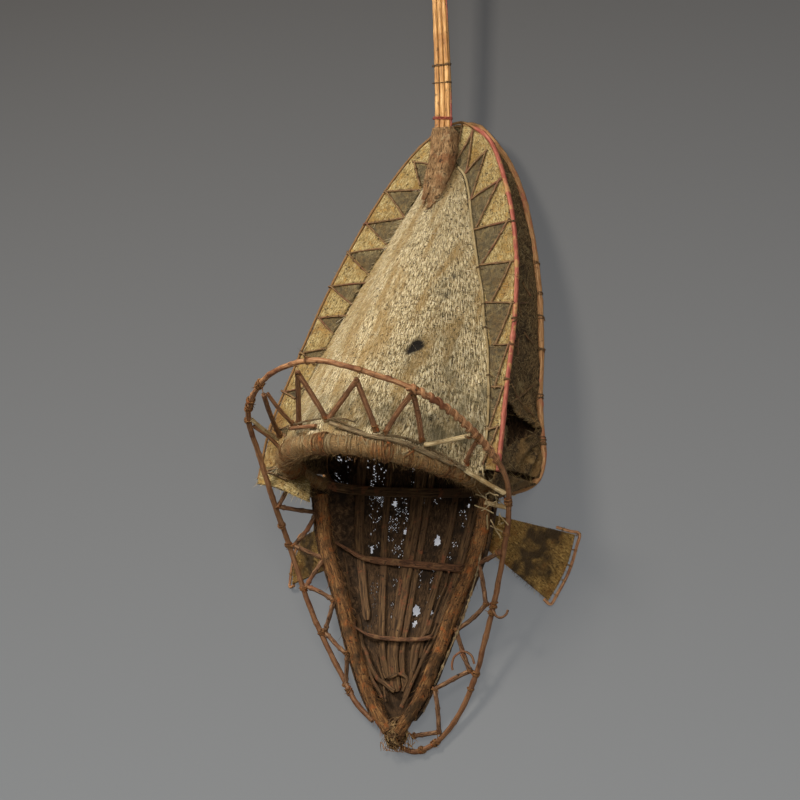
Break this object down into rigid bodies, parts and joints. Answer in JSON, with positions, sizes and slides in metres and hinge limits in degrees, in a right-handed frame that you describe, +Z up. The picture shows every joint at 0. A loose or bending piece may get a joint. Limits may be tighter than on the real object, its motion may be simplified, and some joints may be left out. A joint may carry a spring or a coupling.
{
  "type": "eharo mask",
  "caption": "Light barkcloth dance headpiece on a bent cane frame, with a head ring, an open splint jaw, a frill hoop and a carrying stick.",
  "frame": {"origin": "under the middle of the mask's box, on the surface it lies on", "axes": "+Y from the jaw's tip towards the carrying stick, +Z up through the head opening's frill, +X to the right as the camera sees it"},
  "size_m": [0.3623, 0.9053, 0.2773],
  "materials": {
    "pale_barkcloth": "matt beaten bark with raised fibres",
    "tan_barkcloth": "matt beaten bark, painted in dark triangles",
    "dark_barkcloth": "matt woolly bark cloth",
    "brown_barkcloth": "matt, sooty bark cloth",
    "bare_cane": "satin split cane",
    "brown_cane": "rough peeled cane",
    "bark": "rough bark",
    "red_cane": "matt worn red paint on cane",
    "splint_wood": "dark split wood",
    "fibre": "matt bound fibre",
    "straw": "matt dry straw"
  },
  "bodies": {
    "root": {"back_edge_cane": "red_cane", "front_edge_cane": "bare_cane", "head_ring": "fibre", "ring_band": "bark", "limb_left": "bark", "limb_right": "bark", "frill_hoop": "brown_cane", "hood_cloth": "pale_barkcloth", "border_cloth": "tan_barkcloth", "teeth_left": "brown_cane", "teeth_right": "brown_cane", "seam_cane": "bare_cane", "front_cloth": "brown_barkcloth", "gusset_cloth": "dark_barkcloth", "jaw_skin": "brown_barkcloth", "foot_cloth_left": "dark_barkcloth", "foot_cloth_right": "dark_barkcloth", "splint_1": "splint_wood", "splint_2": "splint_wood", "splint_3": "splint_wood", "splint_4": "splint_wood", "splint_5": "splint_wood", "cross_band_upper": "bark", "cross_band_lower": "bark", "tip_knot": "straw", "folded_strut_1": "brown_cane", "folded_strut_2": "brown_cane", "folded_strut_3": "brown_cane", "strut_left_1": "brown_cane", "strut_left_2": "brown_cane", "strut_left_3": "bare_cane", "strut_left_4": "brown_cane", "strut_right_1": "bare_cane", "strut_right_2": "brown_cane", "strut_right_3": "bare_cane", "strut_right_4": "bare_cane", "hood_foot_cane_left": "brown_cane", "hood_foot_cane_right": "bare_cane", "lacing_left": "brown_cane", "lacing_right": "brown_cane", "ear_left": "tan_barkcloth", "ear_rim_left": "bare_cane", "ear_right": "tan_barkcloth", "ear_rim_right": "bare_cane", "stick_left": "bare_cane", "stick_middle": "bare_cane", "stick_right": "bare_cane", "stick_red": "red_cane", "foot_patch": "fibre"}
  },
  "joints": []
}
